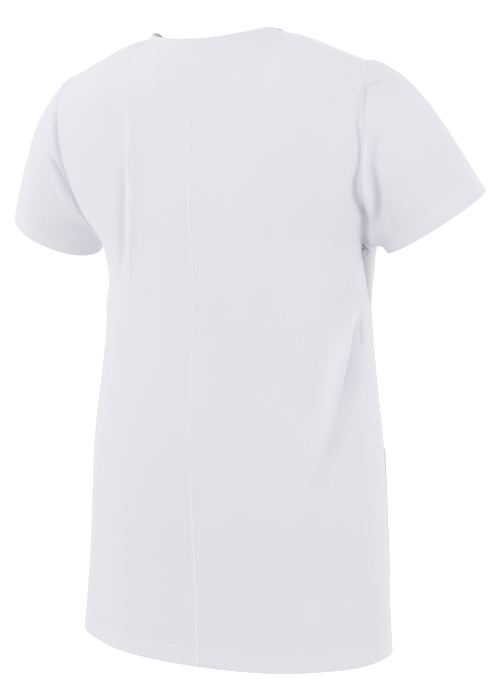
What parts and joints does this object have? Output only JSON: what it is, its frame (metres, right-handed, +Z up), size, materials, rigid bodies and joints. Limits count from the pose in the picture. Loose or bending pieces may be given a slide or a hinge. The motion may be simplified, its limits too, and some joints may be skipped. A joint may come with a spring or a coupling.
{
  "type": "medical tunic",
  "caption": "Short-sleeved medical tunic in its worn, hollow shape, with a V neck, a yoked back with a centre seam, set-in sleeves and patch pockets on the lower front.",
  "frame": {"origin": "midway between the neck ends of the two shoulder seams, where the wearer's shoulders carry the cloth", "axes": "+Z up; the front of the tunic faces -Y and its back faces +Y; +X is the wearer's left"},
  "size_m": [0.6668, 0.2505, 0.7777],
  "materials": {
    "white_cloth": "matt white woven cloth, very slightly cool"
  },
  "bodies": {
    "root": {"back_left": "white_cloth", "back_right": "white_cloth", "back_yoke": "white_cloth", "front": "white_cloth", "sleeve_left": "white_cloth", "sleeve_right": "white_cloth", "pocket_left": "white_cloth", "pocket_right": "white_cloth"}
  },
  "joints": []
}
